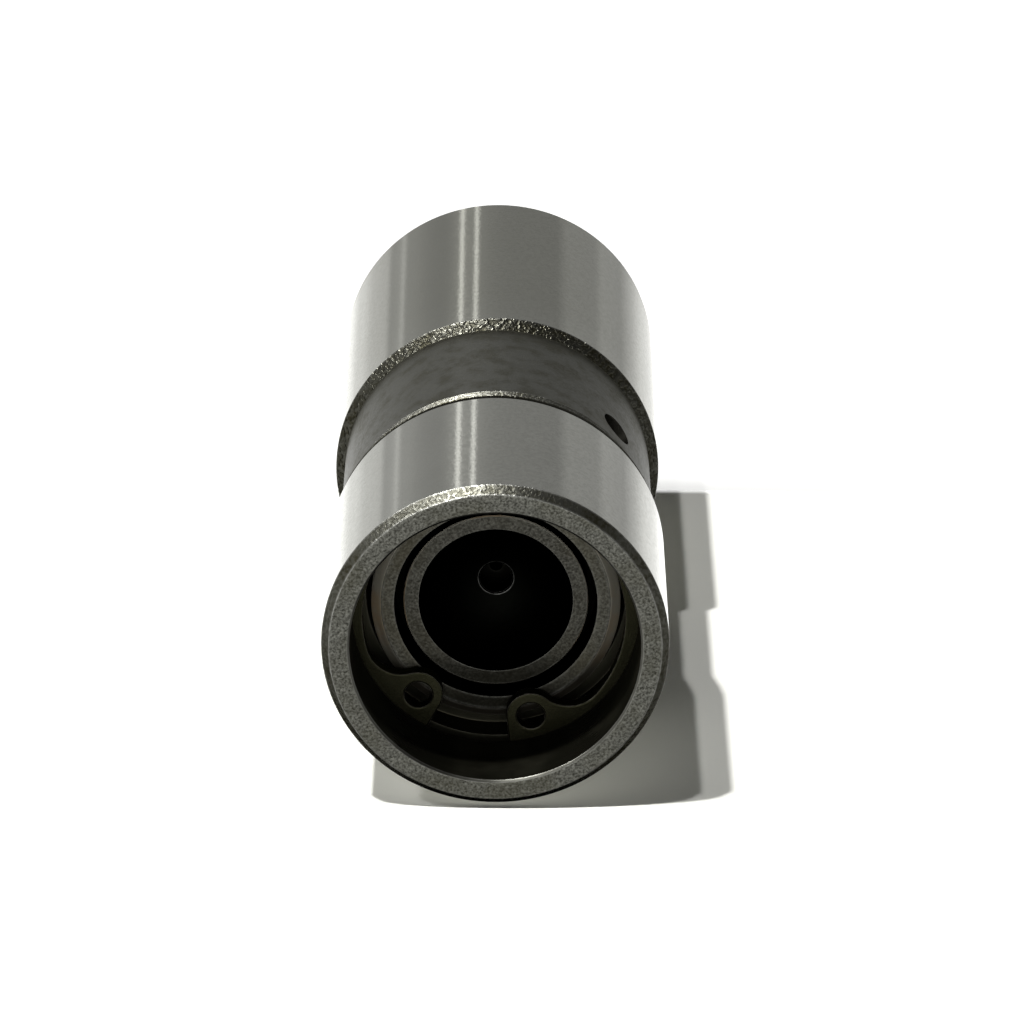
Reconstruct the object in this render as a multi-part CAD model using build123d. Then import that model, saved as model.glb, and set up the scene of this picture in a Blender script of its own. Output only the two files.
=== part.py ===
from build123d import *
from math import acos, asin, atan2, cos, radians, sin, sqrt, tan
import os

# A flat-foot mechanical valve lifter, standing on its foot with the open end up.
# The origin is the centre of the foot's underside, and +Z runs up the lifter's axis.
# Depths are measured down from the open end, as on a workshop drawing.

# Body, outside
body_diameter = 21.4
body_length = 51.9
open_chamfer_length = 0.6
open_chamfer_width = 0.5
foot_chamfer = 0.5
waist_cut = 0.62
waist_start_depth = 14.8
waist_ramp_length = 2.8
waist_end_depth = 29.1

# Body, inside
mouth_diameter = 17.9
mouth_depth = 8.6
mouth_edge_break = 0.15
seat_bore_lead = 0.3
chamber_diameter = 11.2
chamber_end_depth = 39.4
drill_point_angle = 118.0

# Oil hole through the waist
oil_hole_diameter = 2.4
oil_hole_depth = 20.3
oil_hole_bearing = 220.0

# Retaining ring and its groove
groove_diameter = 19.0
groove_start_depth = 5.6
ring_thickness = 1.0
ring_side_play = 0.1
ring_outer_play = 0.05
ring_inner_diameter = 16.4
ring_inner_offset = 0.55
ring_bearing = 78.8
eye_spread = 28.7
eye_circle_radius = 7.51
eye_radius = 1.54
eye_hole_diameter = 1.76
eye_fillet = 2.2

# Pushrod seat
seat_diameter = 15.6
seat_running_clearance = 0.05
seat_end_play = 0.15
seat_height = 5.75
rim_chamfer_width = 0.6
rim_chamfer_depth = 0.4
seat_foot_chamfer = 0.3
moat_outer_radius = 6.35
moat_bottom_drop = 2.8
neck_drop = 0.55
neck_outer_radius = 5.78
neck_edge_break = 0.08
socket_radius = 5.0
socket_mouth_radius = 4.83
seat_oil_hole_diameter = 2.04
seat_oil_hole_break = 0.1

# Metering disc, which floats on a ledge under the seat
disc_diameter = 13.0
disc_thickness = 0.5
disc_lift = 0.4
disc_top_clearance = 0.05
disc_side_clearance = 0.2
disc_orifice_diameter = 0.8

# Places worked out from the sizes above
groove_width = ring_thickness + ring_side_play
groove_end_depth = groove_start_depth + groove_width
rim_depth = groove_end_depth + seat_end_play
shoulder_depth = rim_depth + seat_height
seat_bore_diameter = seat_diameter + 2 * seat_running_clearance
pocket_diameter = disc_diameter + 2 * disc_side_clearance
ledge_depth = shoulder_depth + disc_thickness + disc_lift + disc_top_clearance


def level(depth):
    """Height above the foot of a depth measured from the open end."""
    return body_length - depth


def turned(points):
    """A solid of revolution about Z, from a closed outline of radius and height pairs."""
    with BuildPart() as piece:
        with BuildSketch(Plane.XZ):
            with BuildLine():
                Polyline(*points, close=True)
            make_face()
        revolve(axis=Axis.Z)
    return piece.part


def make_body():
    outer = body_diameter / 2
    waist = outer - waist_cut
    mouth = mouth_diameter / 2
    groove = groove_diameter / 2
    seat_bore = seat_bore_diameter / 2
    pocket = pocket_diameter / 2
    chamber = chamber_diameter / 2
    point_length = chamber / tan(radians(drill_point_angle / 2))
    outline = [
        (0, 0),
        (outer - foot_chamfer, 0),
        (outer, foot_chamfer),
        (outer, level(waist_end_depth)),
        (waist, level(waist_end_depth - waist_cut)),
        (waist, level(waist_start_depth + waist_ramp_length)),
        (outer, level(waist_start_depth)),
        (outer, level(open_chamfer_length)),
        (outer - open_chamfer_width, level(0)),
        (mouth + mouth_edge_break, level(0)),
        (mouth, level(mouth_edge_break)),
        (mouth, level(groove_start_depth)),
        (groove, level(groove_start_depth)),
        (groove, level(groove_end_depth)),
        (mouth, level(groove_end_depth)),
        (mouth, level(mouth_depth)),
        (seat_bore + seat_bore_lead, level(mouth_depth)),
        (seat_bore, level(mouth_depth + seat_bore_lead)),
        (seat_bore, level(shoulder_depth)),
        (pocket, level(shoulder_depth)),
        (pocket, level(ledge_depth)),
        (chamber, level(ledge_depth)),
        (chamber, level(chamber_end_depth)),
        (0, level(chamber_end_depth + point_length)),
    ]
    hole_place = Plane(
        origin=(0, 0, level(oil_hole_depth)),
        x_dir=(0, 0, 1),
        z_dir=(cos(radians(oil_hole_bearing)), sin(radians(oil_hole_bearing)), 0),
    )
    drill = Solid.make_cylinder(oil_hole_diameter / 2, outer, hole_place)
    return turned(outline) - drill


def make_seat():
    outer = seat_diameter / 2
    rim = level(rim_depth)
    foot = level(shoulder_depth)
    neck = rim - neck_drop
    hole = seat_oil_hole_diameter / 2
    socket_centre = neck + sqrt(socket_radius**2 - socket_mouth_radius**2)
    hole_rim = hole + seat_oil_hole_break
    hole_rim_level = socket_centre - sqrt(socket_radius**2 - hole_rim**2)
    mouth_way = atan2(neck - socket_centre, socket_mouth_radius)
    hole_way = atan2(hole_rim_level - socket_centre, hole_rim)
    arc_angle = (mouth_way + hole_way) / 2
    arc_middle = (socket_radius * cos(arc_angle), socket_centre + socket_radius * sin(arc_angle))
    with BuildPart() as seat:
        with BuildSketch(Plane.XZ):
            with BuildLine():
                Polyline(
                    (hole_rim, hole_rim_level),
                    (hole, hole_rim_level - seat_oil_hole_break),
                    (hole, foot),
                    (outer - seat_foot_chamfer, foot),
                    (outer, foot + seat_foot_chamfer),
                    (outer, rim - rim_chamfer_depth),
                    (outer - rim_chamfer_width, rim),
                    (moat_outer_radius, rim),
                    (moat_outer_radius, rim - moat_bottom_drop),
                    (neck_outer_radius, rim - moat_bottom_drop),
                    (neck_outer_radius, neck - neck_edge_break),
                    (neck_outer_radius - neck_edge_break, neck),
                    (socket_mouth_radius, neck),
                )
                ThreePointArc((socket_mouth_radius, neck), arc_middle, (hole_rim, hole_rim_level))
            make_face()
        revolve(axis=Axis.Z)
    return seat.part


def polar(reach, angle):
    """The point at this reach from the middle, with its angle in radians."""
    return (reach * cos(angle), reach * sin(angle))


def make_lug(eye, inner, outer, end_angle):
    """What joins an eye to its arm: an arc on one side, and on the other the ring's straight end."""
    reach = (eye[0] - ring_inner_offset, eye[1])
    spacing = sqrt(reach[0] ** 2 + reach[1] ** 2)
    to_inner = inner - eye_fillet
    to_eye = eye_radius + eye_fillet
    turn = acos((to_inner**2 + spacing**2 - to_eye**2) / (2 * to_inner * spacing))
    arm_way = atan2(reach[1], reach[0]) + turn
    centre = (ring_inner_offset + to_inner * cos(arm_way), to_inner * sin(arm_way))
    eye_way = atan2(eye[1] - centre[1], eye[0] - centre[0])
    on_arm, middle, on_eye = [
        (centre[0] + eye_fillet * cos(way), centre[1] + eye_fillet * sin(way))
        for way in (arm_way, (arm_way + eye_way) / 2, eye_way)
    ]
    arm_middle = outer - eye_radius / 4
    end_starts = polar(sqrt(eye_circle_radius**2 - eye_radius**2), end_angle)
    end_in_arm = polar(arm_middle, end_angle)
    behind_eye = polar(arm_middle, radians(eye_spread))
    behind_arm = polar(arm_middle, atan2(on_arm[1], on_arm[0]))
    arc = ThreePointArc(on_arm, middle, on_eye)
    rest = Polyline(on_eye, eye, end_starts, end_in_arm, behind_eye, behind_arm, on_arm)
    return make_face(arc + rest)


def make_ring():
    outer = groove_diameter / 2 - ring_outer_play
    inner = ring_inner_diameter / 2
    eye = polar(eye_circle_radius, radians(eye_spread))
    end_angle = radians(eye_spread) - asin(eye_radius / eye_circle_radius)
    gap_reach = 2 * outer
    gap_side = gap_reach * tan(end_angle)
    gap = Polygon((0, 0), (gap_reach, -gap_side), (gap_reach, gap_side), align=None)
    lug = make_lug(eye, inner, outer, end_angle)
    eyes = Locations(eye, (eye[0], -eye[1]))
    profile = Circle(outer) - Pos(ring_inner_offset, 0) * Circle(inner) - gap
    profile += [lug, mirror(lug, about=Plane.XZ)]
    profile += [place * Circle(eye_radius) for place in eyes]
    profile -= [place * Circle(eye_hole_diameter / 2) for place in eyes]
    blank = extrude(Pos(0, 0, level(groove_end_depth)) * profile, ring_thickness)
    return blank.rotate(Axis.Z, ring_bearing)


def make_disc():
    disc = Solid.make_cylinder(disc_diameter / 2, disc_thickness)
    orifice = Solid.make_cylinder(disc_orifice_diameter / 2, disc_thickness)
    return (disc - orifice).moved(Location((0, 0, level(ledge_depth))))


parts = {
    "lifter_body": make_body(),
    "pushrod_seat": make_seat(),
    "retaining_ring": make_ring(),
    "metering_disc": make_disc(),
}

os.makedirs("parts", exist_ok=True)
for name, shape in parts.items():
    export_step(shape, f"parts/{name}.step")
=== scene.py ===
import math

import bpy
from mathutils import Matrix, Vector


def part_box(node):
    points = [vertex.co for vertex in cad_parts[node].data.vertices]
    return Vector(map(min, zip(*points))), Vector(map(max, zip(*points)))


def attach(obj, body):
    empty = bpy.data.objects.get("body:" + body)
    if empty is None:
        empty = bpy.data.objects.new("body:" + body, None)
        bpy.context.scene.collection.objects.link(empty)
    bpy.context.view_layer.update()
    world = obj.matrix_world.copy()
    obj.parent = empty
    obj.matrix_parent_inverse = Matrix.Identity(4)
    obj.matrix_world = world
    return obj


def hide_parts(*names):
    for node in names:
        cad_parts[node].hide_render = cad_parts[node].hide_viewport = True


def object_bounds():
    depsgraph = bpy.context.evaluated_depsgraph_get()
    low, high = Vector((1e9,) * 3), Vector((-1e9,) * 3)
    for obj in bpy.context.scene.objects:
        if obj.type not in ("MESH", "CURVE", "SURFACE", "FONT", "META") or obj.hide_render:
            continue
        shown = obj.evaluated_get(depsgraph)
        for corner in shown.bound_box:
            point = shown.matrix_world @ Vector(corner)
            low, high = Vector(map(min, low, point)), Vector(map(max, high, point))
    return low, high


# The looks of a flat-foot valve lifter that stands on its foot, open end up.
# Lengths are in metres, and depths are measured down from the open end.

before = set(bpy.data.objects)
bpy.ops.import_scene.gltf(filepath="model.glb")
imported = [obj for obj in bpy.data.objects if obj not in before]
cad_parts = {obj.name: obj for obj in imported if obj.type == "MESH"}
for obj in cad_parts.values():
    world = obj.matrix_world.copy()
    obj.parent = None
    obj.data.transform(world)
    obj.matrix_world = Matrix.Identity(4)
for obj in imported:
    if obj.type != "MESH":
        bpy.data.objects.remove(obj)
cadLow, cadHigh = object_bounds()
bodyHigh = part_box("lifter_body")[1]
seatLow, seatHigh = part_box("pushrod_seat")
ringLow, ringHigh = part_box("retaining_ring")
discLow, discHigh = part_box("metering_disc")
openEnd = bodyHigh.z
print("frame loaded:", len(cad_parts), "nodes, open end at", round(openEnd, 5))

mm = 0.001


# Node helpers
def feed(tree, node, inputs):
    for name, value in inputs.items():
        if isinstance(value, bpy.types.NodeSocket):
            tree.links.new(value, node.inputs[name])
        else:
            node.inputs[name].default_value = value


def put(tree, kind, inputs=None, **settings):
    node = tree.nodes.new(kind)
    for name, value in settings.items():
        setattr(node, name, value)
    feed(tree, node, inputs or {})
    return node


def maths(tree, operation, first, second=0.0, third=0.0, clamp=False):
    inputs = {0: first, 1: second, 2: third}
    return put(tree, "ShaderNodeMath", inputs, operation=operation, use_clamp=clamp).outputs[0]


def spread(tree, value, low, high, newLow=0.0, newHigh=1.0, smooth=False):
    inputs = {"Value": value, "From Min": low, "From Max": high, "To Min": newLow, "To Max": newHigh}
    kind = "SMOOTHSTEP" if smooth else "LINEAR"
    return put(tree, "ShaderNodeMapRange", inputs, interpolation_type=kind).outputs["Result"]


def blendValues(tree, factor, first, second):
    return put(tree, "ShaderNodeMix", {0: factor, 2: first, 3: second}).outputs[0]


def blendColours(tree, factor, first, second):
    inputs = {0: factor, 6: first, 7: second}
    return put(tree, "ShaderNodeMix", inputs, data_type="RGBA").outputs[2]


def addMasks(tree, *masks):
    # Each mask comes with its weight, and the sum stops at 1
    total = 0.0
    for mask, weight in masks:
        total = maths(tree, "MULTIPLY_ADD", mask, weight, total, clamp=True)
    return total


def objectPlace(tree):
    return put(tree, "ShaderNodeTexCoord").outputs["Object"]


def axesOf(tree, place):
    return put(tree, "ShaderNodeSeparateXYZ", {"Vector": place}).outputs


def cloud(tree, place, size, detail, roughness):
    # Soft noise whose forms are about this size
    scale = maths(tree, "DIVIDE", 1.0, size)
    inputs = {"Vector": place, "Scale": scale, "Detail": detail, "Roughness": roughness}
    return put(tree, "ShaderNodeTexNoise", inputs).outputs["Fac"]


def colour(red, green, blue):
    return (red, green, blue, 1.0)


def grey(level):
    return colour(level, level, level)


def newGroup(name, inputs, outputs):
    tree = bpy.data.node_groups.new(name, "ShaderNodeTree")
    for label, value in inputs.items():
        socket = tree.interface.new_socket(label, in_out="INPUT", socket_type="NodeSocketFloat")
        socket.default_value = value
    for label in outputs:
        tree.interface.new_socket(label, in_out="OUTPUT", socket_type="NodeSocketFloat")
    return tree, tree.nodes.new("NodeGroupInput").outputs, tree.nodes.new("NodeGroupOutput")


def useGroup(tree, group, inputs):
    return put(tree, "ShaderNodeGroup", inputs, node_tree=group).outputs


# Shared effects
grainValues = {
    "roughness": 0.6,
    "softSpan": 0.28,  # half of the noise's range that goes from dark to light
    "sharpSpan": 0.04,
    "fleckEdge": (0.32, 0.12),
    "fleckHeight": 0.35,
}


def makeGrain(values):
    # Fine speckle of a matte iron surface, with a few larger flecks
    inputs = {"Size": 0.12 * mm, "Fleck": 0.5 * mm, "Sharpness": 0.55, "Detail": 3.0}
    tree, given, result = newGroup("ironGrain", inputs, ["Mask", "Flecks", "Height"])
    place = objectPlace(tree)
    fine = cloud(tree, place, given["Size"], given["Detail"], values["roughness"])
    fleckScale = maths(tree, "DIVIDE", 1.0, given["Fleck"])
    cells = put(tree, "ShaderNodeTexVoronoi", {"Vector": place, "Scale": fleckScale}).outputs["Distance"]
    span = spread(tree, given["Sharpness"], 0.0, 1.0, values["softSpan"], values["sharpSpan"])
    low = maths(tree, "SUBTRACT", 0.5, span)
    high = maths(tree, "ADD", 0.5, span)
    mask = spread(tree, fine, low, high, smooth=True)
    flecks = spread(tree, cells, *values["fleckEdge"], smooth=True)
    height = maths(tree, "MULTIPLY_ADD", flecks, values["fleckHeight"], mask)
    feed(tree, result, {"Mask": mask, "Flecks": flecks, "Height": height})
    return tree


lineValues = {
    "smallestRadius": 0.001 * mm,
    "faceShare": 1.37,  # on a flat face the radius parts the lines, in place of the height
    "detail": 2.0,
    "roughness": 0.6,
    "maskEdge": (0.3, 0.7),
}


def makeLatheLines(values):
    # Lines that run round the axis, as grinding and turning leave them
    inputs = {"Pitch": 0.08 * mm, "Wander": 3.0}
    tree, given, result = newGroup("latheLines", inputs, ["Mask", "Height"])
    axes = axesOf(tree, objectPlace(tree))
    squareX = maths(tree, "POWER", axes["X"], 2.0)
    squareY = maths(tree, "POWER", axes["Y"], 2.0)
    distance = maths(tree, "SQRT", maths(tree, "ADD", squareX, squareY))
    radius = maths(tree, "MAXIMUM", distance, values["smallestRadius"])
    turn = maths(tree, "DIVIDE", given["Wander"], radius)
    along = maths(tree, "ADD", axes["Z"], maths(tree, "MULTIPLY", radius, values["faceShare"]))
    spot = put(tree, "ShaderNodeCombineXYZ", {
        "X": maths(tree, "MULTIPLY", axes["X"], turn),
        "Y": maths(tree, "MULTIPLY", axes["Y"], turn),
        "Z": maths(tree, "DIVIDE", along, given["Pitch"]),
    }).outputs[0]
    lines = cloud(tree, spot, 1.0, values["detail"], values["roughness"])
    feed(tree, result, {"Mask": spread(tree, lines, *values["maskEdge"]), "Height": lines})
    return tree


wearAndGlintValues = {
    "detail": 4.0,
    "roughness": 0.65,
    "patchEdge": (0.35, 0.62),
    "leastWear": 0.25,
    "narrowing": 1.6,
}


def makeEdgeWearAndGlint(values):
    # Bare, rubbed metal along the corners that stand out, which also paints a highlight there
    tree, given, result = newGroup("edgeWearAndGlint", {"Amount": 0.8, "Patch": 0.6 * mm}, ["Mask"])
    corner = put(tree, "ShaderNodeAttribute", attribute_name="edge").outputs["Fac"]
    patches = cloud(tree, objectPlace(tree), given["Patch"], values["detail"], values["roughness"])
    rubbed = spread(tree, patches, *values["patchEdge"], values["leastWear"], 1.0)
    mask = maths(tree, "MULTIPLY", maths(tree, "POWER", corner, values["narrowing"]), rubbed)
    feed(tree, result, {"Mask": maths(tree, "MULTIPLY", mask, given["Amount"], clamp=True)})
    return tree


stainValues = {"detail": 5.0, "roughness": 0.55, "edge": (0.42, 0.66)}


def makeStains(values):
    # Broad patches of oil film and heat colour
    tree, given, result = newGroup("stains", {"Size": 6 * mm, "Amount": 1.0}, ["Mask"])
    patches = cloud(tree, objectPlace(tree), given["Size"], values["detail"], values["roughness"])
    mask = spread(tree, patches, *values["edge"], smooth=True)
    feed(tree, result, {"Mask": maths(tree, "MULTIPLY", mask, given["Amount"], clamp=True)})
    return tree


def makeLowSideShade():
    # Painted shade: darker towards +Y, the side that lay lowest, where shade fell
    tree, given, result = newGroup("lowSideShade", {"From": 3 * mm, "To": 6 * mm, "Amount": 1.0}, ["Mask"])
    side = axesOf(tree, objectPlace(tree))["Y"]
    mask = spread(tree, side, given["From"], given["To"], smooth=True)
    feed(tree, result, {"Mask": maths(tree, "MULTIPLY", mask, given["Amount"])})
    return tree


grain = makeGrain(grainValues)
latheLines = makeLatheLines(lineValues)
edgeWearAndGlint = makeEdgeWearAndGlint(wearAndGlintValues)
stains = makeStains(stainValues)
lowSideShade = makeLowSideShade()
print("shared effects made")


# Finishes: a dictionary inside a finish's own holds the inputs of one shared effect
def startMaterial(name, values):
    # grazing dulls a metal seen edge-on, as an oxide skin does
    material = bpy.data.materials.new(name)
    material.use_nodes = True
    tree = material.node_tree
    surface = tree.nodes["Principled BSDF"]
    feed(tree, surface, {"Metallic": 1.0, "Specular Tint": values["grazing"]})
    return material, tree, surface


def rubAndGlintEdges(tree, shade, values):
    wornAndGlinting = useGroup(tree, edgeWearAndGlint, {"Amount": values["wearAndGlint"], "Patch": values["wearAndGlintPatch"]})
    return blendColours(tree, wornAndGlinting["Mask"], shade, values["bareAndGlint"])


def layLowSideShade(tree, shade, values):
    # painted shade on the +Y side, where the part lay lowest
    if "lowShade" not in values:
        return shade
    lowShading = useGroup(tree, lowSideShade, values["lowShade"])
    return blendColours(tree, lowShading["Mask"], shade, values["lowShadeColour"])


def dressSurface(tree, surface, values, shade, glossMask, height):
    # Colour, a roughness that swings about its middle with the mask, and fine relief
    swing = values["swing"]
    rough = maths(tree, "MULTIPLY_ADD", glossMask, swing, values["roughness"] - swing / 2)
    bump = put(tree, "ShaderNodeBump", {"Height": height, "Distance": values["relief"]})
    feed(tree, surface, {"Base Color": shade, "Roughness": rough, "Normal": bump.outputs["Normal"]})


groundIron = {
    "base": colour(0.50, 0.502, 0.452),
    "dull": colour(0.43, 0.432, 0.385),
    "footShadeColour": colour(0.29, 0.29, 0.235),
    "bareAndGlint": colour(0.60, 0.60, 0.58),
    "grazing": grey(1),
    "roughness": 0.15,
    "swing": 0.03,
    "anisotropy": 1.0,
    "scratchTurn": 0.25,  # of a full turn
    "lines": {"Pitch": 0.07 * mm, "Wander": 2.0},
    "spots": {"Size": 0.28 * mm, "Fleck": 1.1 * mm, "Sharpness": 0.75},
    "waves": {"Size": 0.3 * mm, "Fleck": 1.4 * mm, "Sharpness": 0.0},
    "film": {"Size": 5 * mm, "Amount": 0.5},
    "wearAndGlint": 0.6,
    "wearAndGlintPatch": 1.2 * mm,
    "lineShare": 0.08,
    "spotShare": 0.28,
    "filmShare": 0.4,
    "footFade": (18 * mm, 38 * mm),
    "footShare": 0.6,
    "relief": 0.0013 * mm,
}


def makeGroundIron(values):
    # Cylindrical grinding: glints run along the axis, since the scratches run round it
    material, tree, surface = startMaterial("groundIron", values)
    tangent = put(tree, "ShaderNodeTangent", direction_type="RADIAL", axis="Z").outputs[0]
    stretch = {"Anisotropic": values["anisotropy"], "Anisotropic Rotation": values["scratchTurn"]}
    feed(tree, surface, {**stretch, "Tangent": tangent})
    lines = useGroup(tree, latheLines, values["lines"])["Mask"]
    spots = useGroup(tree, grain, values["spots"])["Mask"]
    film = useGroup(tree, stains, values["film"])["Mask"]
    shares = [(lines, values["lineShare"]), (spots, values["spotShare"]), (film, values["filmShare"])]
    shade = blendColours(tree, addMasks(tree, *shares), values["base"], values["dull"])
    height = axesOf(tree, objectPlace(tree))["Z"]
    # Painted shade: the lands are darker towards the foot
    footShade = spread(tree, height, *values["footFade"], values["footShare"], 0.0)
    shade = blendColours(tree, footShade, shade, values["footShadeColour"])
    shade = rubAndGlintEdges(tree, shade, values)
    waves = useGroup(tree, grain, values["waves"])
    dressSurface(tree, surface, values, shade, spots, waves["Height"])
    return material


skinIron = {
    "base": colour(0.156, 0.156, 0.138),
    "olive": colour(0.092, 0.089, 0.066),
    "light": colour(0.24, 0.24, 0.22),
    "bareAndGlint": colour(0.30, 0.30, 0.27),
    "grazing": grey(0.62),
    "roughness": 0.44,
    "swing": -0.08,
    "speckle": {"Size": 0.26 * mm},
    "lines": {"Pitch": 0.22 * mm, "Wander": 16.0},
    "film": {"Size": 1.4 * mm, "Amount": 0.75},
    "wearAndGlint": 0.1,
    "wearAndGlintPatch": 0.5 * mm,
    "lightShare": 0.20,
    "wallShadeFade": (23.2 * mm, 25.4 * mm),
    "wallShade": 0.75,
    "wallShadeCover": 0.25,
    "relief": 0.0018 * mm,
    "speckleRelief": 0.5,
    "lineRelief": 1.4,
}

# The foot's chamfer, and the shoulder below the waist
roughSkinIron = {
    **skinIron,
    "base": colour(0.040, 0.039, 0.030),
    "olive": colour(0.026, 0.024, 0.014),
    "light": colour(0.150, 0.150, 0.136),
    "bareAndGlint": colour(0.42, 0.42, 0.39),
    "grazing": grey(0.2),
    "roughness": 0.33,
    "speckle": {"Size": 0.30 * mm, "Detail": 1.0},
    "lines": {"Pitch": 0.20 * mm, "Wander": 20.0},
    "film": {"Size": 2 * mm, "Amount": 0.9},
    "wearAndGlint": 0.2,
    "wallShade": 0.0,
    "relief": 0.040 * mm,
    "speckleRelief": 1.0,
    "lineRelief": 0.4,
}

# The ramp above the waist, and the open end's chamfer
slopeIron = {
    **roughSkinIron,
    "base": colour(0.060, 0.059, 0.047),
    "olive": colour(0.036, 0.034, 0.021),
    "light": colour(0.22, 0.22, 0.20),
    "bareAndGlint": colour(0.55, 0.55, 0.52),
    "lowShadeColour": colour(0.010, 0.010, 0.008),
    "roughness": 0.38,
    "speckle": {"Size": 0.26 * mm, "Detail": 1.0},
    "wearAndGlint": 0.4,
    # painted shade on the chamfer's +Y side
    "lowShade": {"From": 7.4 * mm, "To": 10.4 * mm, "Amount": 0.95},
    "relief": 0.013 * mm,
}


def makeSkinIron(name, values):
    # Turned and heat-treated skin, left as it came
    material, tree, surface = startMaterial(name, values)
    speckle = useGroup(tree, grain, values["speckle"])
    lines = useGroup(tree, latheLines, values["lines"])
    film = useGroup(tree, stains, values["film"])["Mask"]
    # painted shade on the waist beside the lower land, where the waist meets its wall, which also covers
    # the light specks there
    height = axesOf(tree, objectPlace(tree))["Z"]
    wallShade = spread(tree, height, *values["wallShadeFade"], values["wallShade"], 0.0, smooth=True)
    shade = blendColours(tree, maths(tree, "MAXIMUM", film, wallShade), values["base"], values["olive"])
    lightShare = maths(tree, "MULTIPLY_ADD", wallShade, -values["wallShadeCover"], values["lightShare"])
    specks = maths(tree, "MULTIPLY", speckle["Mask"], lightShare, clamp=True)
    shade = blendColours(tree, specks, shade, values["light"])
    shade = rubAndGlintEdges(tree, shade, values)
    shade = layLowSideShade(tree, shade, values)
    fine = maths(tree, "MULTIPLY", speckle["Height"], values["speckleRelief"])
    relief = maths(tree, "MULTIPLY_ADD", lines["Height"], values["lineRelief"], fine)
    dressSurface(tree, surface, values, shade, speckle["Mask"], relief)
    return material


endFaceIron = {
    "dark": colour(0.014, 0.0138, 0.010),
    "base": colour(0.058, 0.058, 0.050),
    "light": colour(0.190, 0.190, 0.165),
    "olive": colour(0.052, 0.050, 0.033),
    "bareAndGlint": colour(0.30, 0.30, 0.27),
    "grazing": grey(0.6),
    "roughness": 0.50,
    "swing": -0.1,
    "speckle": {"Size": 0.155 * mm, "Fleck": 0.42 * mm, "Sharpness": 0.0},
    "mottle": {"Size": 0.75 * mm, "Fleck": 1.3 * mm, "Sharpness": 0.2},
    "film": {"Size": 4 * mm, "Amount": 0.6},
    "wearAndGlint": 0.12,
    "wearAndGlintPatch": 0.4 * mm,
    "mottleShare": 0.35,
    "filmShare": 0.75,
    "fleckShare": 0.15,
    "relief": 0.010 * mm,
}

rimFaceSteel = {
    **endFaceIron,
    "dark": colour(0.034, 0.033, 0.025),
    "base": colour(0.070, 0.068, 0.056),
    "light": colour(0.135, 0.132, 0.110),
    "olive": colour(0.060, 0.053, 0.032),
    "lowShadeColour": colour(0.007, 0.0068, 0.005),
    "bareAndGlint": colour(0.20, 0.20, 0.18),
    "roughness": 0.58,
    "speckle": {"Size": 0.15 * mm, "Fleck": 0.42 * mm, "Sharpness": 0.0},
    "wearAndGlint": 0.3,
    # painted shade on the seat rim's +Y side
    "lowShade": {"From": 3 * mm, "To": 6.8 * mm, "Amount": 0.93},
}

neckFaceSteel = {
    **rimFaceSteel,
    "dark": colour(0.020, 0.019, 0.015),
    "base": colour(0.042, 0.041, 0.033),
    "light": colour(0.110, 0.108, 0.092),
    "olive": colour(0.034, 0.031, 0.019),
    "lowShadeColour": colour(0.006, 0.0058, 0.004),
    "bareAndGlint": colour(0.18, 0.18, 0.16),
    "roughness": 0.56,
    "wearAndGlint": 0.5,
    # painted shade on the neck's +Y side
    "lowShade": {"From": 2.8 * mm, "To": 5.2 * mm, "Amount": 0.8},
}


def makeFaceIron(name, values):
    # Matte speckled face, as a coarse wheel or a blast leaves it
    material, tree, surface = startMaterial(name, values)
    speckle = useGroup(tree, grain, values["speckle"])
    mottle = useGroup(tree, grain, values["mottle"])["Mask"]
    film = useGroup(tree, stains, values["film"])["Mask"]
    shade = blendColours(tree, speckle["Mask"], values["dark"], values["light"])
    layers = [
        (mottle, "mottleShare", "base"),
        (film, "filmShare", "olive"),
        (speckle["Flecks"], "fleckShare", "bareAndGlint"),
    ]
    for mask, share, tint in layers:
        shade = blendColours(tree, maths(tree, "MULTIPLY", mask, values[share]), shade, values[tint])
    shade = layLowSideShade(tree, shade, values)
    shade = rubAndGlintEdges(tree, shade, values)
    dressSurface(tree, surface, values, shade, speckle["Mask"], speckle["Height"])
    return material


boreIron = {
    "base": colour(0.030, 0.029, 0.020),
    "light": colour(0.050, 0.048, 0.034),
    "bareAndGlint": colour(0.20, 0.20, 0.18),
    "grazing": grey(0.35),
    "roughness": 0.51,
    "swing": 0.14,
    "marks": {"Pitch": 0.30 * mm},
    "film": {"Size": 3 * mm, "Amount": 0.6},
    "wearAndGlint": 0.1,
    "wearAndGlintPatch": 0.5 * mm,
    "markShare": 0.3,
    "filmShare": 0.3,
    "filmGloss": True,
    "relief": 0.004 * mm,
}

drilledIron = {
    **boreIron,
    "base": colour(0.022, 0.021, 0.017),
    "light": colour(0.040, 0.038, 0.032),
    "grazing": grey(0.15),
    "roughness": 0.53,
    "marks": {"Pitch": 2.0 * mm},
    "wearAndGlint": 0.0,
}

lipIron = {
    **boreIron,
    "base": colour(0.068, 0.067, 0.057),
    "light": colour(0.120, 0.119, 0.105),
    "bareAndGlint": colour(0.22, 0.22, 0.20),
    "grazing": grey(0.5),
    "roughness": 0.39,
    "marks": {"Pitch": 0.20 * mm},
    "wearAndGlint": 0.6,
}

# Painted shade: near black, standing in for the shade down in the socket and the moat round the neck
socketShadeSteel = {
    **boreIron,
    "base": colour(0.0010, 0.0011, 0.0008),
    "light": colour(0.0022, 0.0023, 0.0018),
    "bareAndGlint": colour(0.16, 0.16, 0.15),
    "grazing": grey(0.06),
    "roughness": 0.45,
    "wearAndGlint": 0.9,
}

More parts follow.
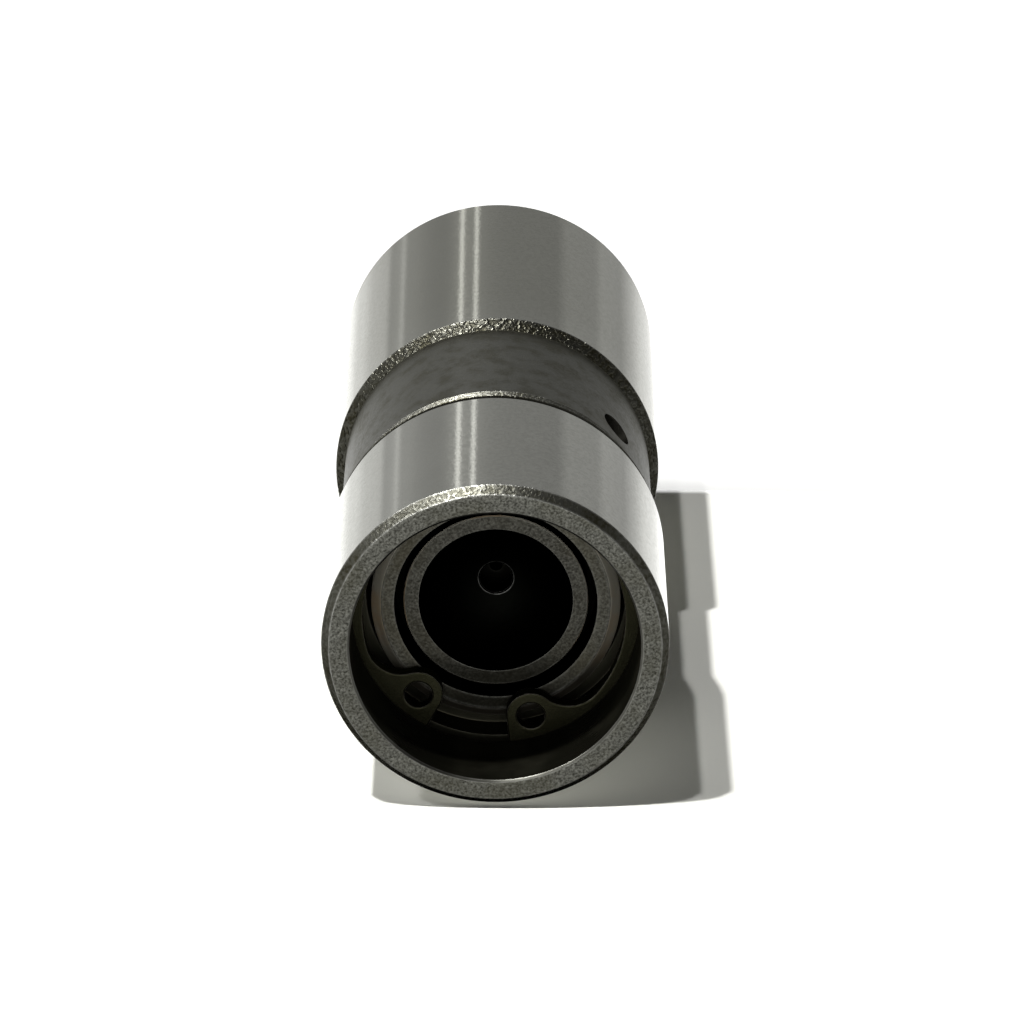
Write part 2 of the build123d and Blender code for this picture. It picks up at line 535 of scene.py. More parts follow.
# Phosphated spring steel, olive and a little waxy, pale along the pressed edge: bare metal there and a
# painted highlight
ringSteel = {
    "base": colour(0.0145, 0.0143, 0.0075),
    "light": colour(0.034, 0.0330, 0.0200),
    "bareAndGlint": colour(0.60, 0.58, 0.50),
    "grazing": colour(0.5, 0.5, 0.45),
    "roughness": 0.40,
    "swing": -0.10,
    "marks": {"Size": 0.10 * mm, "Fleck": 0.35 * mm, "Sharpness": 0.3},
    "film": {"Size": 2.5 * mm, "Amount": 0.7},
    "wearAndGlint": 0.8,
    "wearAndGlintPatch": 0.5 * mm,
    "markShare": 0.35,
    "filmShare": 0.35,
    "filmGloss": False,
    "relief": 0.005 * mm,
}


def makeDarkSteel(name, values, effect):
    # Dark steel over tool lines or speckle, which the effect gives; phosphate on the ring, painted shade in
    # the socket
    material, tree, surface = startMaterial(name, values)
    marks = useGroup(tree, effect, values["marks"])
    film = useGroup(tree, stains, values["film"])["Mask"]
    tone = addMasks(tree, (film, values["filmShare"]), (marks["Mask"], values["markShare"]))
    shade = blendColours(tree, tone, values["base"], values["light"])
    shade = rubAndGlintEdges(tree, shade, values)
    glossMask = film if values["filmGloss"] else marks["Mask"]
    dressSurface(tree, surface, values, shade, glossMask, marks["Height"])
    return material


rimSteel = {
    "base": colour(0.42, 0.40, 0.33),
    "warm": colour(0.44, 0.35, 0.23),
    "bareAndGlint": colour(0.30, 0.29, 0.26),
    "lowShadeColour": colour(0.060, 0.054, 0.040),
    "grazing": grey(0.6),
    "roughness": 0.62,
    "swing": 0.10,
    "lines": {"Pitch": 0.11 * mm, "Wander": 2.0},
    "bloom": {"Size": 3.5 * mm, "Amount": 1.0},
    "wearAndGlint": 0.4,
    "wearAndGlintPatch": 0.6 * mm,
    "lowShade": {"From": 1.5 * mm, "To": 5.4 * mm, "Amount": 1.0},
    "relief": 0.004 * mm,
}

# Painted shade: near black, standing in for the shade under the seat, seen through its hole
discShadeSteel = {
    **rimSteel,
    "base": colour(0.0030, 0.0030, 0.0025),
    "warm": colour(0.0034, 0.0030, 0.0022),
    "bareAndGlint": colour(0.006, 0.006, 0.005),
    "lowShadeColour": colour(0.002, 0.002, 0.0016),
    "grazing": grey(0.1),
    "roughness": 0.40,
    "lowShade": {"From": 3 * mm, "To": 6 * mm, "Amount": 0.0},
}


def makeTurnedSteel(name, values):
    # Turned steel with a brown bloom, and painted shade on the +Y side
    material, tree, surface = startMaterial(name, values)
    lines = useGroup(tree, latheLines, values["lines"])
    bloom = useGroup(tree, stains, values["bloom"])["Mask"]
    shade = blendColours(tree, bloom, values["base"], values["warm"])
    shade = layLowSideShade(tree, shade, values)
    shade = rubAndGlintEdges(tree, shade, values)
    dressSurface(tree, surface, values, shade, lines["Mask"], lines["Height"])
    return material


ground = makeGroundIron(groundIron)
skin = makeSkinIron("skinIron", skinIron)
roughSkin = makeSkinIron("roughSkinIron", roughSkinIron)
slope = makeSkinIron("slopeIron", slopeIron)
endFace = makeFaceIron("endFaceIron", endFaceIron)
rimFace = makeFaceIron("rimFaceSteel", rimFaceSteel)
neckFace = makeFaceIron("neckFaceSteel", neckFaceSteel)
bore = makeDarkSteel("boreIron", boreIron, latheLines)
drilled = makeDarkSteel("drilledIron", drilledIron, latheLines)
lip = makeDarkSteel("lipIron", lipIron, latheLines)
socket = makeDarkSteel("socketShadeSteel", socketShadeSteel, latheLines)
ringFinish = makeDarkSteel("ringSteel", ringSteel, grain)
rim = makeTurnedSteel("rimSteel", rimSteel)
discFinish = makeTurnedSteel("discShadeSteel", discShadeSteel)
print("finishes made, materials with the frame's own:", len(bpy.data.materials))


# Objects
def addObject(name, data):
    item = bpy.data.objects.new(name, data)
    bpy.context.scene.collection.objects.link(item)
    return item


def plainMesh(item):
    graph = bpy.context.evaluated_depsgraph_get()
    made = item.evaluated_get(graph)
    return bpy.data.meshes.new_from_object(made, preserve_all_data_layers=True, depsgraph=graph)


# Turned pieces: an outline of corners, with broken edges, spun about the axis
brokenEdge = {
    "steps": 4,
    "wearAndGlintReach": 0.12 * mm,
    "largestShare": 0.4,  # of the shorter side beside the corner
}

spinValues = {
    "weld": 0.0001 * mm,
    "crease": math.radians(40),
    "holeSides": 64,
    "holeCone": 3.0,  # how many edge breaks the cone that breaks the hole's edge is tall
}


def cornerPoints(before, corner, after, edgeRadius, values):
    # The points that take a corner round its broken edge, each with how much bare wear and painted
    # highlight it takes
    spot = Vector(corner)
    toBefore = Vector(before) - spot
    toAfter = Vector(after) - spot
    room = values["largestShare"] * min(toBefore.length, toAfter.length)
    turn = math.pi - toBefore.angle(toAfter)
    wearAndGlint = 1.0 if toAfter.cross(toBefore) > 0 else 0.0
    cut = min(edgeRadius * math.tan(turn / 2), room)
    reach = min(cut + values["wearAndGlintReach"], room + cut / 2)
    start = spot + toBefore.normalized() * cut
    end = spot + toAfter.normalized() * cut
    points = [(spot + toBefore.normalized() * reach, 0.0)]
    for step in range(values["steps"] + 1):
        part = step / values["steps"]
        bent = start * (1 - part) ** 2 + spot * 2 * part * (1 - part) + end * part**2
        points.append((bent, wearAndGlint))
    points.append((spot + toAfter.normalized() * reach, 0.0))
    return points


def outlineMesh(name, corners, finishes, closed):
    # A corner: its radius, its height, how round its edge is, and the finish of the side that follows
    rows = []
    last = len(corners) - 1
    for place, (radius, height, edgeRadius, finish) in enumerate(corners):
        zone = finishes.index(finish)
        onEnd = not closed and place in (0, last)
        if edgeRadius == 0 or onEnd:
            rows.append((Vector((radius, height)), 0.0, zone))
            continue
        before = corners[place - 1]
        after = corners[(place + 1) % len(corners)]
        zoneBefore = finishes.index(before[3])
        found = cornerPoints(before[:2], (radius, height), after[:2], edgeRadius, brokenEdge)
        half = len(found) // 2
        for step, (spot, wearAndGlint) in enumerate(found):
            rows.append((spot, wearAndGlint, zoneBefore if step < half else zone))
    if closed:
        rows.append(rows[0])
    spots, wearsAndGlints, zones = zip(*rows)
    mesh = bpy.data.meshes.new(name)
    joins = [(place, place + 1) for place in range(len(rows) - 1)]
    mesh.from_pydata([(spot.x, 0, spot.y) for spot in spots], joins, [])
    mesh.attributes.new("edgeAlong", "FLOAT", "POINT").data.foreach_set("value", wearsAndGlints)
    mesh.attributes.new("zoneAlong", "INT", "POINT").data.foreach_set("value", zones)
    return mesh


def treeInputs(tree, sockets):
    # The key of each input is what sets it on the modifier
    keys = {}
    for label, (kind, value) in sockets.items():
        made = tree.interface.new_socket(label, in_out="INPUT", socket_type="NodeSocket" + kind)
        if value is not None:
            made.default_value = value
        keys[label] = made.identifier
    return keys


def form(tree, kind, inputs=None, **settings):
    # A geometry node, by its first output
    return put(tree, "GeometryNode" + kind, inputs, **settings).outputs[0]


def storeNamed(tree, geometry, label, value, kind, domain):
    inputs = {"Geometry": geometry, "Name": label, "Value": value}
    return form(tree, "StoreNamedAttribute", inputs, data_type=kind, domain=domain)


def readNamed(tree, label, kind):
    return form(tree, "InputNamedAttribute", {"Name": label}, data_type=kind)


def spinOutline(tree, given):
    # A grid with one row of points for each point of the outline, turned about the axis
    outline = given["Outline"]
    count = form(tree, "AttributeDomainSize", {"Geometry": outline})
    columns = maths(tree, "ADD", given["Segments"], 1.0)
    grid = form(tree, "MeshGrid", {"Vertices X": columns, "Vertices Y": count})
    index = form(tree, "InputIndex")
    row = maths(tree, "MODULO", index, count)
    faceRow = maths(tree, "MODULO", index, maths(tree, "SUBTRACT", count, 1.0))
    column = maths(tree, "FLOOR", maths(tree, "DIVIDE", maths(tree, "ADD", index, 0.5), count))
    angle = maths(tree, "MULTIPLY", column, maths(tree, "DIVIDE", math.tau, given["Segments"]))

    def along(value, kind, place):
        inputs = {"Geometry": outline, "Value": value, "Index": place}
        return form(tree, "SampleIndex", inputs, data_type=kind, domain="POINT")

    spot = along(form(tree, "InputPosition"), "FLOAT_VECTOR", row)
    turned = put(tree, "ShaderNodeVectorRotate", {"Vector": spot, "Angle": angle}, rotation_type="Z_AXIS")
    shape = form(tree, "SetPosition", {"Geometry": grid, "Position": turned.outputs[0]})
    edge = along(readNamed(tree, "edgeAlong", "FLOAT"), "FLOAT", row)
    shape = storeNamed(tree, shape, "edge", edge, "FLOAT", "POINT")
    zone = along(readNamed(tree, "zoneAlong", "INT"), "INT", faceRow)
    shape = storeNamed(tree, shape, "zone", zone, "INT", "FACE")
    return form(tree, "MergeByDistance", {"Geometry": shape, "Distance": given["Weld"]})


def drillHole(tree, given, shape, values):
    # A rod for the hole and a cone for its broken edge, joined, turned to their bearing and cut out
    radius, edgeBreak, distance = given["Hole Radius"], given["Hole Break"], given["Hole Distance"]
    sides = values["holeSides"]
    rod = form(tree, "MeshCylinder", {"Vertices": sides, "Radius": radius, "Depth": given["Hole Length"]})
    cone = form(tree, "MeshCone", {
        "Vertices": sides,
        "Radius Top": maths(tree, "MULTIPLY_ADD", edgeBreak, values["holeCone"], radius),
        "Radius Bottom": radius,
        "Depth": maths(tree, "MULTIPLY", edgeBreak, values["holeCone"]),
    })
    cutters = put(tree, "GeometryNodeMeshBoolean", operation="UNION", solver="EXACT")
    for cutter, place in ((rod, distance), (cone, maths(tree, "SUBTRACT", distance, edgeBreak))):
        shift = put(tree, "ShaderNodeCombineXYZ", {"Z": place}).outputs[0]
        moved = form(tree, "Transform", {"Geometry": cutter, "Translation": shift})
        tree.links.new(moved, cutters.inputs["Mesh"])
    marked = storeNamed(tree, cutters.outputs[0], "zone", given["Hole Zone"], "INT", "FACE")
    turn = put(tree, "ShaderNodeCombineXYZ", {"Y": math.pi / 2, "Z": given["Hole Bearing"]}).outputs[0]
    lift = put(tree, "ShaderNodeCombineXYZ", {"Z": given["Hole Height"]}).outputs[0]
    cutter = form(tree, "Transform", {"Geometry": marked, "Rotation": turn, "Translation": lift})
    meshes = {"Mesh 1": shape, "Mesh 2": cutter}
    return form(tree, "MeshBoolean", meshes, operation="DIFFERENCE", solver="EXACT")


def shadeSmooth(tree, shape, crease):
    # Smooth faces, with the edges that bend more than the crease kept sharp
    shape = form(tree, "SetShadeSmooth", {"Geometry": shape, "Shade Smooth": True}, domain="FACE")
    inputs = {0: form(tree, "InputMeshEdgeAngle"), 1: crease}
    sharp = put(tree, "FunctionNodeCompare", inputs, data_type="FLOAT", operation="GREATER_THAN")
    inputs = {"Geometry": shape, "Selection": sharp.outputs[0], "Shade Smooth": False}
    return form(tree, "SetShadeSmooth", inputs, domain="EDGE")


def spinTree(name, zoneCount, hasHole, values):
    # Spins the outline, drills it if asked, and gives each zone its finish
    tree = bpy.data.node_groups.new(name, "GeometryNodeTree")
    tree.is_modifier = True
    sockets = {
        "Outline": ("Geometry", None),
        "Segments": ("Int", 256),
        "Weld": ("Float", values["weld"]),
        "Crease": ("Float", values["crease"]),
    }
    if hasHole:
        for size in ("Radius", "Length", "Height", "Bearing", "Distance", "Break"):
            sockets["Hole " + size] = ("Float", 0.0)
        sockets["Hole Zone"] = ("Int", 0)
    for zone in range(zoneCount):
        sockets[f"Finish {zone}"] = ("Material", None)
    keys = treeInputs(tree, sockets)
    tree.interface.new_socket("Piece", in_out="OUTPUT", socket_type="NodeSocketGeometry")
    given = tree.nodes.new("NodeGroupInput").outputs
    result = tree.nodes.new("NodeGroupOutput")

    shape = spinOutline(tree, given)
    if hasHole:
        shape = drillHole(tree, given, shape, values)
    shape = shadeSmooth(tree, shape, given["Crease"])
    shape = form(tree, "RealizeInstances", {"Geometry": shape})
    stored = readNamed(tree, "zone", "INT")
    for zone in range(zoneCount):
        chosen = put(tree, "FunctionNodeCompare", {2: stored, 3: zone}, data_type="INT", operation="EQUAL")
        shape = form(tree, "SetMaterial", {
            "Geometry": shape, "Selection": chosen.outputs[0], "Material": given[f"Finish {zone}"],
        })
    tree.links.new(shape, result.inputs["Piece"])
    return tree, keys


def spinPiece(name, corners, closed=False, segments=256, hole=None):
    # Spins an outline into a plain mesh: one object, with no modifier left on it
    finishes = list(dict.fromkeys(corner[3] for corner in corners))
    sizes = {"Segments": segments}
    if hole:
        sizes.update(hole["sizes"])
        sizes["Hole Zone"] = len(finishes)
        finishes.append(hole["finish"])
    piece = addObject(name, outlineMesh(name + "Outline", corners, finishes, closed))
    tree, keys = spinTree(name + "Spin", len(finishes), hole is not None, spinValues)
    modifier = piece.modifiers.new("spin", "NODES")
    modifier.node_group = tree
    for label, value in sizes.items():
        modifier[keys[label]] = value
    for zone, finish in enumerate(finishes):
        modifier[keys[f"Finish {zone}"]] = finish
    bpy.context.view_layer.update()
    mesh = plainMesh(piece)
    piece.modifiers.remove(modifier)
    piece.data = mesh
    mesh.name = name
    for place in reversed(range(len(mesh.materials))):
        if mesh.materials[place] is None:
            mesh.materials.pop(index=place)
    print(f"{name}: {len(mesh.polygons)} faces, {len(mesh.materials)} finishes")
    return piece


# Lifter body
lifterBody = {
    "openChamferLength": 0.6 * mm,
    "openChamferWidth": 0.5 * mm,
    "footChamfer": 0.5 * mm,
    "waistCut": 0.62 * mm,
    "waistStart": 14.8 * mm,
    "waistRamp": 2.8 * mm,
    "waistEnd": 29.1 * mm,
    "ridgeCount": 3,
    "ridgePitch": 0.60 * mm,
    "ridgeHeight": 0.10 * mm,
    "ridgeRound": 0.025 * mm,
    "ridgeBack": 0.12 * mm,  # from a crest to where the next ridge starts
    "ridgeStart": 0.15,  # in pitches, from the low end of the ramp
    "mouthRadius": 8.95 * mm,
    "mouthDepth": 8.6 * mm,
    "mouthBreak": 0.15 * mm,
    "grooveRadius": 9.5 * mm,
    "grooveStart": 5.6 * mm,
    "grooveEnd": 6.7 * mm,
    "seatBoreRadius": 7.85 * mm,
    "seatBoreLead": 0.3 * mm,
    "pocketRadius": 6.7 * mm,
    "chamberRadius": 5.6 * mm,
    "chamberEnd": 39.4 * mm,
    "drillPoint": math.radians(118),
    "oilHoleRadius": 1.2 * mm,
    "oilHoleDepth": 20.3 * mm,
    "oilHoleBearing": math.radians(220),
    "oilHoleBreak": 0.08 * mm,
    "oilHoleReach": 1.6,  # length of the cutter, in walls of the waist
    "edge": 0.05 * mm,
    "softEdge": 0.10 * mm,
    "crispEdge": 0.025 * mm,
}


def rampRidges(values, outer, waist):
    # Tool ridges on the lower part of the ramp: each climbs slowly and drops back steeply
    height = values["ridgeHeight"]
    rampEnd = values["waistStart"] + values["waistRamp"]
    steepness = (outer - waist) / values["waistRamp"]
    corners = []
    for ridge in range(values["ridgeCount"]):
        foot = rampEnd - (ridge + values["ridgeStart"]) * values["ridgePitch"]
        crest = foot - values["ridgePitch"] + values["ridgeBack"]
        end = crest - height
        corners.append((waist + (rampEnd - crest) * steepness + height, crest, values["ridgeRound"], slope))
        corners.append((waist + (rampEnd - end) * steepness, end, values["ridgeRound"], slope))
    return corners


def makeLifterBody(values):
    outer = bodyHigh.x
    waist = outer - values["waistCut"]
    mouth, seatBore = values["mouthRadius"], values["seatBoreRadius"]
    pocket, chamber = values["pocketRadius"], values["chamberRadius"]
    shoulder, ledge = openEnd - seatLow.z, openEnd - discLow.z
    point = chamber / math.tan(values["drillPoint"] / 2)
    edge, soft, crisp = values["edge"], values["softEdge"], values["crispEdge"]
    steps = [
        (0, openEnd, 0, ground),
        (outer - values["footChamfer"], openEnd, soft, roughSkin),
        (outer, openEnd - values["footChamfer"], edge, ground),
        (outer, values["waistEnd"], edge, roughSkin),
        (waist, values["waistEnd"] - values["waistCut"], soft, skin),
        (waist, values["waistStart"] + values["waistRamp"], soft, slope),
        *rampRidges(values, outer, waist),
        (outer, values["waistStart"], edge, ground),
        (outer, values["openChamferLength"], edge, slope),
        (outer - values["openChamferWidth"], 0, soft, endFace),
        (mouth + values["mouthBreak"], 0, edge, lip),
        (mouth, values["mouthBreak"], edge, bore),
        (mouth, values["grooveStart"], crisp, bore),
        (values["grooveRadius"], values["grooveStart"], crisp, bore),
        (values["grooveRadius"], values["grooveEnd"], crisp, bore),
        (mouth, values["grooveEnd"], crisp, bore),
        (mouth, values["mouthDepth"], soft, bore),
        (seatBore + values["seatBoreLead"], values["mouthDepth"], edge, bore),
        (seatBore, values["mouthDepth"] + values["seatBoreLead"], edge, bore),
        (seatBore, shoulder, crisp, bore),
        (pocket, shoulder, crisp, bore),
        (pocket, ledge, crisp, bore),
        (chamber, ledge, edge, bore),
        (chamber, values["chamberEnd"], soft, bore),
        (0, values["chamberEnd"] + point, 0, bore),
    ]
    corners = [(radius, openEnd - depth, *rest) for radius, depth, *rest in steps]
    holeSizes = {
        "Hole Radius": values["oilHoleRadius"],
        "Hole Length": (outer - chamber) * values["oilHoleReach"],
        "Hole Height": openEnd - values["oilHoleDepth"],
        "Hole Bearing": values["oilHoleBearing"],
        "Hole Distance": waist,
        "Hole Break": values["oilHoleBreak"],
    }
    piece = spinPiece("lifterShell", corners, hole={"sizes": holeSizes, "finish": drilled})
    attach(piece, "lifter")
    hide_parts("lifter_body")


makeLifterBody(lifterBody)


# Pushrod seat
pushrodSeat = {
    "rimChamferWidth": 0.6 * mm,
    "rimChamferDepth": 0.4 * mm,
    "footChamfer": 0.3 * mm,
    "moatRadius": 6.35 * mm,
    "moatDrop": 2.8 * mm,
    "neckDrop": 0.55 * mm,
    "neckRadius": 5.78 * mm,
    "neckBreak": 0.08 * mm,
    "socketRadius": 5.0 * mm,
    "socketMouth": 4.83 * mm,
    "holeRadius": 1.02 * mm,
    "holeBreak": 0.1 * mm,
    "edge": 0.04 * mm,
    "crispEdge": 0.02 * mm,
    "rimRound": 0.3 * mm,
    "arcSteps": 40,
}


def makePushrodSeat(values):
    outer, rimLevel, footLevel = seatHigh.x, seatHigh.z, seatLow.z
    neckLevel = rimLevel - values["neckDrop"]
    moatLevel = rimLevel - values["moatDrop"]
    moat, neck, hole = values["moatRadius"], values["neckRadius"], values["holeRadius"]
    ball, mouth = values["socketRadius"], values["socketMouth"]
    centre = neckLevel + math.sqrt(ball**2 - mouth**2)
    holeRim = hole + values["holeBreak"]
    holeRimLevel = centre - math.sqrt(ball**2 - holeRim**2)
    edge, crisp = values["edge"], values["crispEdge"]
    corners = [
        (holeRim, holeRimLevel, crisp, socket),
        (hole, holeRimLevel - values["holeBreak"], crisp, socket),
        (hole, footLevel, edge, rim),
        (outer - values["footChamfer"], footLevel, edge, rim),
        (outer, footLevel + values["footChamfer"], edge, rim),
        (outer, rimLevel - values["rimChamferDepth"], edge, rim),
        (outer - values["rimChamferWidth"], rimLevel, values["rimRound"], rimFace),
        (moat, rimLevel, edge, socket),
        (moat, moatLevel, edge, socket),
        (neck, moatLevel, edge, socket),
        (neck, neckLevel - values["neckBreak"], crisp, rim),
        (neck - values["neckBreak"], neckLevel, crisp, neckFace),
        (mouth, neckLevel, edge, socket),
    ]
    first = math.atan2(neckLevel - centre, mouth)
    last = math.atan2(holeRimLevel - centre, holeRim)
    for step in range(1, values["arcSteps"]):
        way = first + (last - first) * step / values["arcSteps"]
        corners.append((ball * math.cos(way), centre + ball * math.sin(way), 0, socket))
    piece = spinPiece("socketSeat", corners, closed=True)
    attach(piece, "seat")
    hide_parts("pushrod_seat")


makePushrodSeat(pushrodSeat)


# Retaining ring
snapRing = {
    "outerRadius": 9.45 * mm,
    "innerRadius": 8.2 * mm,
    "innerOffset": 0.55 * mm,
    "bearing": math.radians(78.8),
    "eyeSpread": math.radians(28.7),
    "eyeCircle": 7.51 * mm,
    "eyeRadius": 1.54 * mm,
    "eyeHole": 0.88 * mm,
    "webFillet": 2.2 * mm,
    "insideSteps": 60,
    "webSteps": 14,
    "eyeSteps": 48,
    "outsideSteps": 110,
    "edge": 0.10 * mm,
    "edgeSteps": 2,
    # the bare part of the pressed edge is also a painted highlight
    "wornAndGlintEdge": (0.02, 0.75),  # the part of the pressed edge that is bare, from its side to its top
}


def arcPoints(centre, radius, first, last, steps):
    ways = [first + (last - first) * step / steps for step in range(steps + 1)]
    return [(centre[0] + radius * math.cos(way), centre[1] + radius * math.sin(way)) for way in ways]


def ringOutline(values):
    # Half of the outline: the inside of an arm, the web, the eye, the straight end, the outside
    inner, offset = values["innerRadius"], values["innerOffset"]
    eyeSpread, eyeCircle = values["eyeSpread"], values["eyeCircle"]
    eyeRadius, fillet = values["eyeRadius"], values["webFillet"]
    eye = (eyeCircle * math.cos(eyeSpread), eyeCircle * math.sin(eyeSpread))
    reach = (eye[0] - offset, eye[1])
    spacing = math.hypot(*reach)
    toInner, toEye = inner - fillet, eyeRadius + fillet
    turn = math.acos((toInner**2 + spacing**2 - toEye**2) / (2 * toInner * spacing))
    armWay = math.atan2(reach[1], reach[0]) + turn
    centre = (offset + toInner * math.cos(armWay), toInner * math.sin(armWay))
    eyeWay = math.atan2(eye[1] - centre[1], eye[0] - centre[0])
    endWay = eyeSpread - math.asin(eyeRadius / eyeCircle)
    half = arcPoints((offset, 0), inner, math.pi, armWay, values["insideSteps"])
    half += arcPoints(centre, fillet, armWay, eyeWay, values["webSteps"])[1:]
    half += arcPoints(eye, eyeRadius, eyeWay + math.pi, endWay + 1.5 * math.pi, values["eyeSteps"])[1:]
    half += arcPoints((0, 0), values["outerRadius"], endWay, math.pi, values["outsideSteps"])
    return half, eye


def ringMesh(values, thickness):
    # A filled flat curve, with its edges rounded as the press leaves them
    half, eye = ringOutline(values)
    loops = [half[:-1] + [(x, -y) for x, y in reversed(half)][:-1]]
    for spot in (eye, (eye[0], -eye[1])):
        loops.append(arcPoints(spot, values["eyeHole"], 0, math.tau, values["eyeSteps"])[:-1])
    flat = bpy.data.curves.new("snapRingFlat", "CURVE")
    flat.dimensions = "2D"
    flat.fill_mode = "BOTH"
    flat.extrude = thickness / 2 - values["edge"]
    flat.bevel_depth = values["edge"]
    flat.bevel_resolution = values["edgeSteps"]
    flat.offset = -values["edge"]
    for loop in loops:
        spline = flat.splines.new("POLY")
        spline.points.add(len(loop) - 1)
        for place, (x, y) in enumerate(loop):
            spline.points[place].co = (x, y, 0, 1)
        spline.use_cyclic_u = True
    holder = addObject("snapRingFlat", flat)
    mesh = plainMesh(holder)
    bpy.data.objects.remove(holder)
    return mesh


def makeSnapRing(values):
    thickness = ringHigh.z - ringLow.z
    middle = (ringHigh.z + ringLow.z) / 2
    mesh = ringMesh(values, thickness)
    mesh.transform(Matrix.Translation((0, 0, middle)) @ Matrix.Rotation(values["bearing"], 4, "Z"))
    mesh.materials.clear()
    mesh.materials.append(ringFinish)
    side = thickness / 2 - values["edge"]
    wornAndGlintFrom, wornAndGlintTo = [side + values["edge"] * share for share in values["wornAndGlintEdge"]]
    wearAndGlint = mesh.attributes.new("edge", "FLOAT", "POINT")
    for vertex in mesh.vertices:
        up = abs(vertex.co.z - middle)
        wearAndGlint.data[vertex.index].value = 1.0 if wornAndGlintFrom < up < wornAndGlintTo else 0.0
    mesh.shade_smooth()
    capEdges = set()
    for polygon in mesh.polygons:
        if abs(polygon.normal.z) > 0.999:
            capEdges.update(polygon.edge_keys)
    for edge in mesh.edges:
        edge.use_edge_sharp = edge.key in capEdges
    piece = addObject("snapRing", mesh)
    print("snapRing:", len(mesh.polygons), "faces")
    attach(piece, "lifter")
    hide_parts("retaining_ring")


makeSnapRing(snapRing)


# Metering disc, under the seat
meteringDisc = {"orificeRadius": 0.4 * mm, "edge": 0.04 * mm, "segments": 128}


def makeMeteringDisc(values):
    orifice, outer, edge = values["orificeRadius"], discHigh.x, values["edge"]
    places = [(orifice, discLow.z), (outer, discLow.z), (outer, discHigh.z), (orifice, discHigh.z)]
    corners = [(radius, height, edge, discFinish) for radius, height in places]
    piece = spinPiece("oilDisc", corners, closed=True, segments=values["segments"])
    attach(piece, "disc")
    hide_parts("metering_disc")


makeMeteringDisc(meteringDisc)


# Floor and backdrop: white to the camera, with the shadow on the backdrop
stageValues = {
    "size": 4.0,
    "backdropGap": 0.2 * mm,
    "floorColour": colour(0.9, 0.9, 0.86),
    "backdropColour": colour(1.0, 1.0, 0.94),
    "floorGlow": 0.9,
    "cornerGlow": 0.58,
    "cornerReach": 1.5 * mm,
    "shadowFade": 0.7 * mm,
}


def makePaper(name, tint, axis, fade, glows):
    # Paper that glows for the camera alone, by a level that changes along one axis
    material = bpy.data.materials.new(name)
    material.use_nodes = True
    tree = material.node_tree
    tree.nodes.remove(tree.nodes["Principled BSDF"])
    paper = put(tree, "ShaderNodeBsdfDiffuse", {"Color": tint})
    seen = put(tree, "ShaderNodeLightPath").outputs["Is Camera Ray"]
    level = spread(tree, axesOf(tree, objectPlace(tree))[axis], *fade, *glows, smooth=True)
    glow = put(tree, "ShaderNodeEmission", {"Strength": maths(tree, "MULTIPLY", seen, level)})
    both = put(tree, "ShaderNodeAddShader", {0: paper.outputs[0], 1: glow.outputs[0]})
    tree.links.new(both.outputs[0], tree.nodes["Material Output"].inputs["Surface"])
    return material, tree, both.outputs[0]


def makePlane(name, half, near, far, material):
    # near and far: the Y and Z of the plane's two sides, which run along X
    mesh = bpy.data.meshes.new(name)
    corners = [(-half, *near), (half, *near), (half, *far), (-half, *far)]
    mesh.from_pydata(corners, [], [(0, 1, 2, 3)])
    mesh.materials.append(material)
    plane = addObject(name, mesh)
    return plane


def makeStage(values):
    half = values["size"] / 2
    back = cadHigh.y + values["backdropGap"]
    fade = (back - values["cornerReach"], back)
    glows = (values["floorGlow"], values["cornerGlow"])
    floorPaper = makePaper("floorPaper", values["floorColour"], "Y", fade, glows)[0]
    floor = makePlane("floor", half, (-half, 0), (half, 0), floorPaper)
    floor.visible_glossy = False
    floor.visible_diffuse = False

    # The backdrop shows from the front only, so the part is open to view from behind
    # Painted light: the backdrop glows at its foot, fading out upward over shadowFade, which lightens and
    # softens the start of the shadow
    fade, glows = (0.0, values["shadowFade"]), (values["cornerGlow"], 0.0)
    wallPaper, tree, front = makePaper("backdropPaper", values["backdropColour"], "Z", fade, glows)
    clear = put(tree, "ShaderNodeBsdfTransparent").outputs[0]
    behind = put(tree, "ShaderNodeNewGeometry").outputs["Backfacing"]
    choice = put(tree, "ShaderNodeMixShader", {0: behind, 1: front, 2: clear})
    tree.links.new(choice.outputs[0], tree.nodes["Material Output"].inputs["Surface"])
    wall = makePlane("backdrop", half, (back, 0), (back, half), wallPaper)
    for ray in ("visible_diffuse", "visible_glossy", "visible_transmission", "visible_shadow"):
        setattr(wall, ray, False)
    print("floor and backdrop made")


makeStage(stageValues)


# Lamps: bearing from the front towards +X and height above the horizon, both in degrees like the size
lampValues = {
    "nearLamp": {"bearing": 18.5, "height": 9.0, "size": 2.0, "level": 0.85},
    "farLamp": {"bearing": 10.9, "height": 9.0, "size": 2.0, "level": 0.24},
    "sideLamp": {"bearing": 42.0, "height": 9.0, "size": 6.0, "level": 0.22},
    "topLamp": {"bearing": 20.0, "height": 82.0, "size": 50.0, "level": 0.30},
}


def makeLamps(values):
    for name, lamp in values.items():
        data = bpy.data.lights.new(name, "SUN")
        data.energy = lamp["level"] * math.pi
        data.angle = math.radians(lamp["size"])
        bearing, height = math.radians(lamp["bearing"]), math.radians(lamp["height"])
        level = math.cos(height)
        towards = Vector((math.sin(bearing) * level, -math.cos(bearing) * level, math.sin(height)))
        addObject(name, data).rotation_euler = towards.to_track_quat("Z", "Y").to_euler()
    print("lamps:", ", ".join(values))


makeLamps(lampValues)


